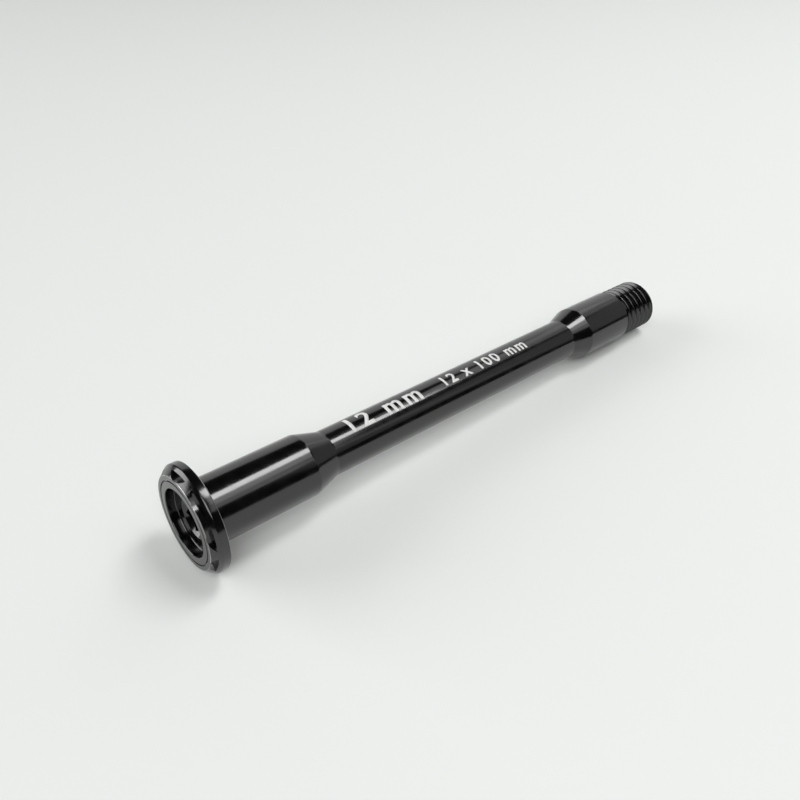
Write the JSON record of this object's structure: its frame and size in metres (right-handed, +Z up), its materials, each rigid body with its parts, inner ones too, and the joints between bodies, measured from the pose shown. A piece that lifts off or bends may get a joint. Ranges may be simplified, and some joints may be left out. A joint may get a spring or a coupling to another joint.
{
  "type": "bicycle thru axle",
  "caption": "Turned black thru axle for a bicycle wheel: notched flange head with a hex socket, slim waist and coarse-threaded tip, lying at rest.",
  "frame": {"origin": "on the surface that the axle lies on, under the middle of its length", "axes": "+X along the axle from its head to its threaded tip (the axle dips 2 degrees towards the tip as it lies), +Z up"},
  "size_m": [0.1254, 0.02, 0.02],
  "materials": {
    "black_anodised_aluminium": "black anodised, satin gloss, fine turning marks"
  },
  "bodies": {
    "root": {"thru_axle": "black_anodised_aluminium"}
  },
  "joints": []
}
